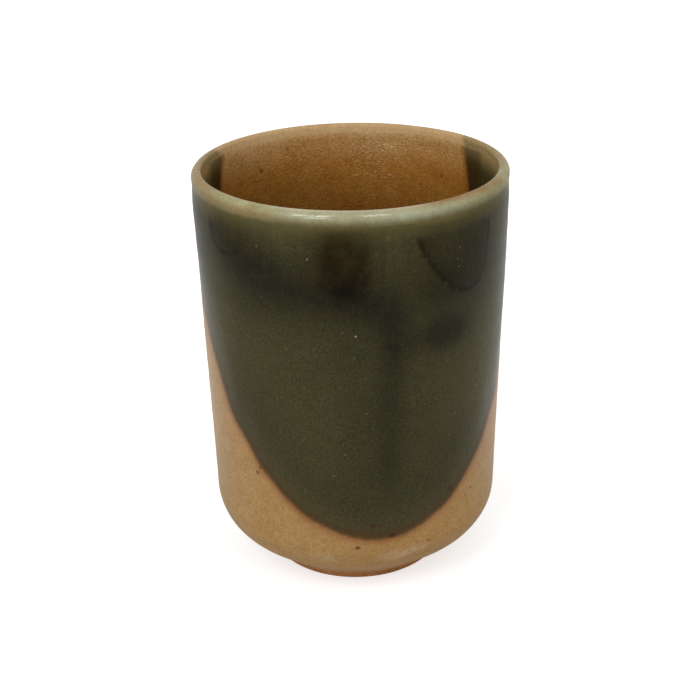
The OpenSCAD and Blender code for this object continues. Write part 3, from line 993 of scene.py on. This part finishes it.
def glaze_material(name, base_rough, peel_out, peel_in, specular, swell):
    """Material of one coat of glaze. Its colour comes from the cup's skin, its bump from orange peel, and
    its roughness changes with the grain. Over the lip, the rim glaze has its own colours and is glassy."""
    material, bench, shader = solid_material(name)
    colour, green, dip, inside, crest = glaze_colours(bench)
    if name == "rim_glaze_finish":
        colour, glassy = lip_colours(bench, colour, green, dip, crest)
        bench.feed(shader.inputs["Coat Weight"], glassy)
        shader.inputs["Coat Roughness"].default_value = 0.12
        shader.inputs["Coat IOR"].default_value = 1.5
    grain = bench.group(GRAIN, Grain=0.8, Cloud=6.0)
    rough = bench.line(grain["Fine"], 0.10, base_rough - 0.05)
    depth = bench.line(inside, peel_in - peel_out, peel_out)
    depth = bench.times(depth, bench.step(bench.math("ABSOLUTE", crest), 0.5, 5.0, 0.3, 1.0))
    depth = bench.times(depth, bench.step(green, 0.0, 1.0, 1.0, 0.45))
    feed_shader(bench, shader, colour, rough, bench.group(PEEL, Swell=swell, Depth=depth)["Height"])
    shader.inputs["Specular IOR Level"].default_value = specular
    return material


def clay_material(name, ground, dark, ring):
    """Bare fired clay: sandy grain, broad redder clouds, dark specks, and the fine rings of the turning
    tool, which run round the axis and drift a little."""
    material, bench, shader = solid_material(name)
    place = bench.place()
    x, y, z = bench.node("SeparateXYZ", {0: place}).outputs
    radius = bench.math("SQRT", bench.math("ADD", bench.math("POWER", x, 2.0), bench.math("POWER", y, 2.0)))
    drift = bench.times(bench.noise(place, 9.0), 5.0)
    rings = bench.math("ADD", bench.times(radius, 2 * np.pi / ring), drift)
    rings = bench.math("SINE", bench.math("ADD", rings, bench.times(z, 4.0)))
    grain = bench.group(GRAIN, Grain=0.35, Cloud=8.0)
    colour = bench.mix(bench.step(grain["Broad"], 0.3, 0.7), ground, dark)
    # The rings also make the colour darker in their grooves: painted shade
    light = bench.times(bench.step(grain["Fine"], 0.2, 0.8, 0.72, 1.22), bench.line(rings, 0.05, 1.0))
    colour = bench.shade(colour, light)
    stray = bench.group(STRAY, Spacing=1.6, Share=0.35)["Mask"]
    colour = bench.mix(bench.times(stray, 0.6), colour, (0.045, 0.022, 0.012))
    height = bench.line(grain["Fine"], 0.10, bench.times(rings, 0.022))
    feed_shader(bench, shader, colour, bench.step(grain["Broad"], 0.2, 0.8, 0.72, 0.9), height)
    shader.inputs["Specular IOR Level"].default_value = 0.03
    return material


def dress(piece, material):
    """Gives a piece one material."""
    piece.data.materials.clear()
    piece.data.materials.append(material)


# Each glaze has its roughness, the depth of its orange peel outside and inside, its gloss and the size of its
# swells. Each clay has its ground and its dark colour, and how far apart its rings are
dress(buff_skin, glaze_material("buff_glaze_finish", 0.38, 0.018, 0.018, 0.13, 1.3))
dress(liner_skin, glaze_material("liner_glaze_finish", 0.24, 0.120, 0.120, 0.50, 0.52))
dress(green_skin, glaze_material("green_glaze_finish", 0.30, 0.012, 0.030, 0.060, 1.3))
dress(rim_skin, glaze_material("rim_glaze_finish", 0.28, 0.012, 0.070, 0.055, 0.52))
dress(foot_turned, clay_material("bare_foot_clay", (0.48, 0.215, 0.082), (0.365, 0.152, 0.053), 0.9))
turned_clay = clay_material("turned_clay", (0.36, 0.170, 0.072), (0.28, 0.120, 0.048), 1.3)
dress(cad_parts["clay_body"], turned_clay)

for piece, node, slot in (
    (buff_skin, "buff_glaze", "buff_glaze"),
    (liner_skin, "liner_glaze", "liner_glaze"),
    (green_skin, "green_glaze", "green_glaze"),
    (rim_skin, "rim_glaze", "rim_glaze"),
    (foot_turned, "foot_ring", "foot_clay"),
):
    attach(piece, "root")
    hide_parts(node)


def white_floor():
    """A plain white floor 3 m wide, just under the foot. What the camera or a reflection sees of it has a
    share of plain white added, and the rest keeps the cup's shadow. Less white is added near the foot, a
    painted shadow. A reflection sees less of it under the cup, a painted shadow where the real one is deep,
    and far out, a painted shade."""
    mesh = bpy.data.meshes.new("floor")
    corners = [(-1.5, -1.5), (1.5, -1.5), (1.5, 1.5), (-1.5, 1.5)]
    mesh.from_pydata([(x, y, -0.02 * MM) for x, y in corners], [], [(0, 1, 2, 3)])
    floor = new_object("floor", mesh)
    material = bpy.data.materials.new("floor_paper")
    bench = own_bench(material)
    path = bench.node("LightPath").outputs
    far = bench.node("VectorMath", {0: bench.place()}, operation="LENGTH").outputs["Value"]
    # Painted shadow for reflections: less under the cup and far out
    shaded = bench.band(far, (28.0, 90.0), (130.0, 280.0, 0.76, 0.25))
    seen = bench.line(path["Is Glossy Ray"], shaded, path["Is Camera Ray"])
    seen = bench.math("MINIMUM", bench.math("ADD", seen, path["Is Transmission Ray"]), 1.0)
    # Painted shadow: less white added near the foot
    added = bench.step(far, 32.0, 95.0, 0.60, 0.74)
    added = bench.math("ADD", added, bench.step(far, 300.0, 1000.0, 0.0, 0.25))
    paper = bench.node("BsdfDiffuse", {"Color": (0.60, 0.60, 0.60)}).outputs[0]
    light = bench.node("Emission", {"Strength": bench.times(seen, added)}).outputs[0]
    bench.node("OutputMaterial", {"Surface": bench.node("AddShader", {0: paper, 1: light}).outputs[0]})
    mesh.materials.append(material)


def plain_world(level):
    """A world that lights evenly at a level, and is white to the camera and in reflections."""
    world = bpy.data.worlds.new("studio")
    bpy.context.scene.world = world
    bench = own_bench(world)
    path = bench.node("LightPath").outputs
    seen = bench.math("ADD", path["Is Camera Ray"], path["Is Glossy Ray"])
    seen = bench.math("MINIMUM", bench.math("ADD", seen, path["Is Transmission Ray"]), 1.0)
    back = bench.node("Background", {"Color": (1, 1, 1), "Strength": bench.line(seen, 1.0 - level, level)})
    bench.node("OutputWorld", {"Surface": back.outputs[0]})


def soft_lamp(name, place, wide, tall, brightness):
    """A flat lamp that faces the middle of the cup. Its power is its brightness times its area times pi, so
    that a brightness of 1 looks as bright as white paper in full light."""
    data = bpy.data.lights.new(name, "AREA")
    data.shape = "RECTANGLE"
    data.size = wide
    data.size_y = tall
    data.energy = brightness * wide * tall * np.pi
    way = Vector((0, 0, 0.05)) - Vector(place)
    turned = way.to_track_quat("-Z", "Y").to_matrix().to_4x4()
    new_object(name, data).matrix_world = Matrix.Translation(place) @ turned


def photo_camera():
    """The photo's camera, fitted to the cup's outline, lip and foot: its place, the pitch down, a very small
    pan and roll, and the lens for a frame 700 pixels wide."""
    pitch, pan, roll, focus = 0.43787, -0.00449, -0.01731, 1234.777
    ahead = np.array([0, np.cos(pitch), -np.sin(pitch)])
    right = np.array([1.0, 0, 0])
    up = np.array([0, np.sin(pitch), np.cos(pitch)])
    look = ahead * np.cos(pan) + right * np.sin(pan)
    side = right * np.cos(pan) - ahead * np.sin(pan)
    x_axis = side * np.cos(roll) + up * np.sin(roll)
    y_axis = up * np.cos(roll) - side * np.sin(roll)
    data = bpy.data.cameras.new("photo_camera")
    data.sensor_width = 36
    data.lens = focus / 700 * data.sensor_width
    camera = new_object("photo_camera", data)
    turned = Matrix([x_axis, y_axis, -look]).transposed().to_4x4()
    camera.matrix_world = Matrix.Translation((0.000502, -0.262956, 0.172914)) @ turned
    bpy.context.scene.camera = camera


white_floor()
plain_world(level=0.345)
# Each lamp has its place, its width and height, and its brightness
for x, wide, brightness in ((-0.64, 0.13, 9.0), (-0.34, 0.20, 11.0), (0.22, 0.10, 7.0), (0.38, 0.09, 7.0)):
    soft_lamp("front_lamp", (x, -0.75, 0.85), wide, 0.5, brightness)
soft_lamp("window_lamp", (-0.42, -1.05, 0.35), 0.36, 0.22, 10.0)
soft_lamp("left_lamp", (-0.75, 0.10, 0.50), 0.5, 0.7, 0.8)
soft_lamp("right_lamp", (0.78, -0.05, 0.28), 0.5, 0.5, 2.3)
soft_lamp("back_lamp", (0.0, 0.60, 0.80), 0.9, 0.6, 1.0)
photo_camera()
bpy.context.scene.view_settings.view_transform = "Standard"
